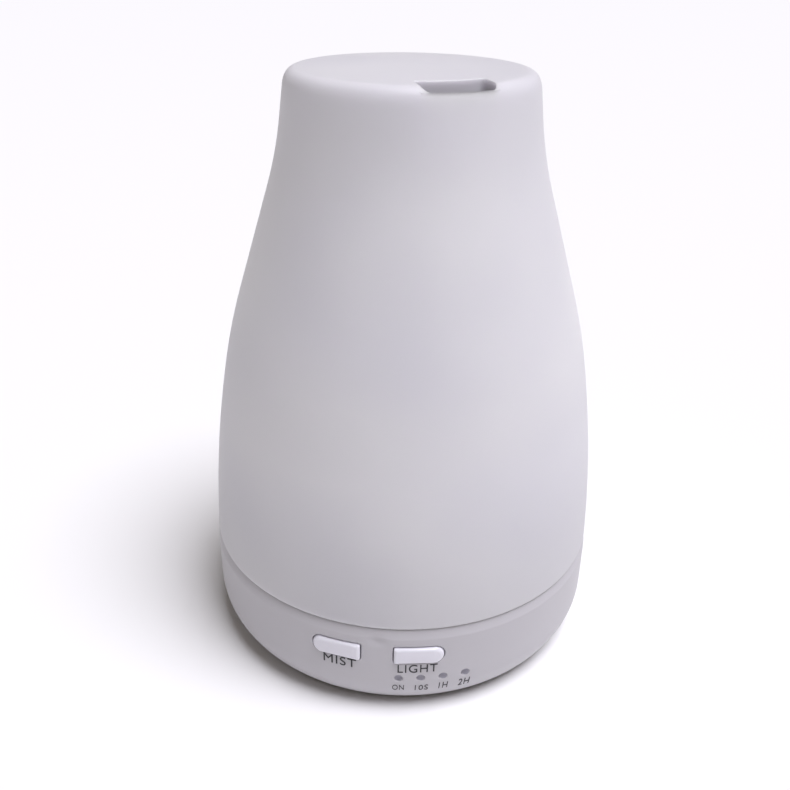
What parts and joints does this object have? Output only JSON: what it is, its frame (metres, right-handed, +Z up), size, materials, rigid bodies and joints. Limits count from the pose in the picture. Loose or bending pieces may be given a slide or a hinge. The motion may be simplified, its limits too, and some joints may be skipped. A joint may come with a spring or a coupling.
{
  "type": "cool mist humidifier",
  "caption": "Bottle-shaped frosted cover with a mist slot near the rim of its top, over a low round base with two tongue-shaped buttons and a row of timer indicators.",
  "frame": {"origin": "on the floor, under the centre of the feet", "axes": "+Z up through the centre of the cover, -Y towards the front with the buttons, +X to the right seen from the front"},
  "size_m": [0.097, 0.0975, 0.138],
  "materials": {
    "frosted_shell": "frosted satin",
    "frosted_tank": "translucent satin",
    "base_shell": "satin",
    "button_plastic": "satin",
    "lens_plastic": "frosted",
    "silicone": "matte",
    "foot_rubber": "matte",
    "black_plastic": "matte",
    "white_board_plastic": "matte",
    "lead_cover": "gloss",
    "circuit_board": "satin",
    "led_body": "gloss",
    "ceramic_disc": "satin",
    "screw_steel": "zinc plated",
    "magnet": "matte",
    "copper_winding": "enamelled",
    "brass": "polished",
    "aluminium": "anodised",
    "capacitor_can": "sleeved"
  },
  "bodies": {
    "base": {"water_tank": "frosted_tank", "fan_collar": "silicone", "air_duct": "frosted_tank", "duct_cap": "frosted_tank", "tank_seal": "silicone", "ultrasonic_disc": "ceramic_disc", "disc_gasket": "silicone", "disc_clamp": "white_board_plastic", "disc_clamp_screws": "screw_steel", "light_board": "circuit_board", "light_leds": "led_body", "light_board_screws": "screw_steel", "base_housing": "base_shell", "bottom_cover": "base_shell", "rubber_feet": "foot_rubber", "housing_screws": "screw_steel", "fan_frame": "black_plastic", "fan_bush": "brass", "fan_stator": "copper_winding", "fan_screws": "screw_steel", "main_board": "circuit_board", "main_board_screws": "screw_steel", "driver_coil": "copper_winding", "capacitors": "capacitor_can", "heat_sink": "aluminium", "power_transistor": "black_plastic", "controller_chip": "black_plastic", "connectors": "white_board_plastic", "disc_leads": "lead_cover", "fan_leads": "lead_cover", "light_leads": "lead_cover", "button_ribbon": "lead_cover", "dc_jack": "black_plastic", "dc_pin": "brass", "button_board": "circuit_board", "indicator_leds": "led_body", "indicator_lenses": "lens_plastic", "light_switch": "black_plastic", "mist_switch": "black_plastic"},
    "cover_body": {"cover": "frosted_shell"},
    "fan_wheel": {"fan_rotor": "black_plastic", "fan_shaft": "screw_steel", "fan_magnet": "magnet"},
    "light_key": {"light_button": "button_plastic", "light_switch_plunger": "black_plastic"},
    "mist_key": {"mist_button": "button_plastic", "mist_switch_plunger": "black_plastic"}
  },
  "joints": [
    {"name": "cover_lift", "type": "slide", "parent": "base", "child": "cover_body", "axis": [0, 0, 1], "range_m": [0, 0.08]},
    {"name": "fan_spin", "type": "hinge", "parent": "base", "child": "fan_wheel", "pos_m": [-0.024, 0.003, 0.009], "axis": [0, 0, 1], "continuous": true},
    {"name": "light_button_press", "type": "slide", "parent": "base", "child": "light_key", "axis": [0, 1, 0], "range_m": [0, 0.0004], "stiffness_N_per_m": 2500, "springref_m": -0.0001},
    {"name": "mist_button_press", "type": "slide", "parent": "base", "child": "mist_key", "axis": [0, 1, 0], "range_m": [0, 0.0004], "stiffness_N_per_m": 2500, "springref_m": -0.0001}
  ]
}
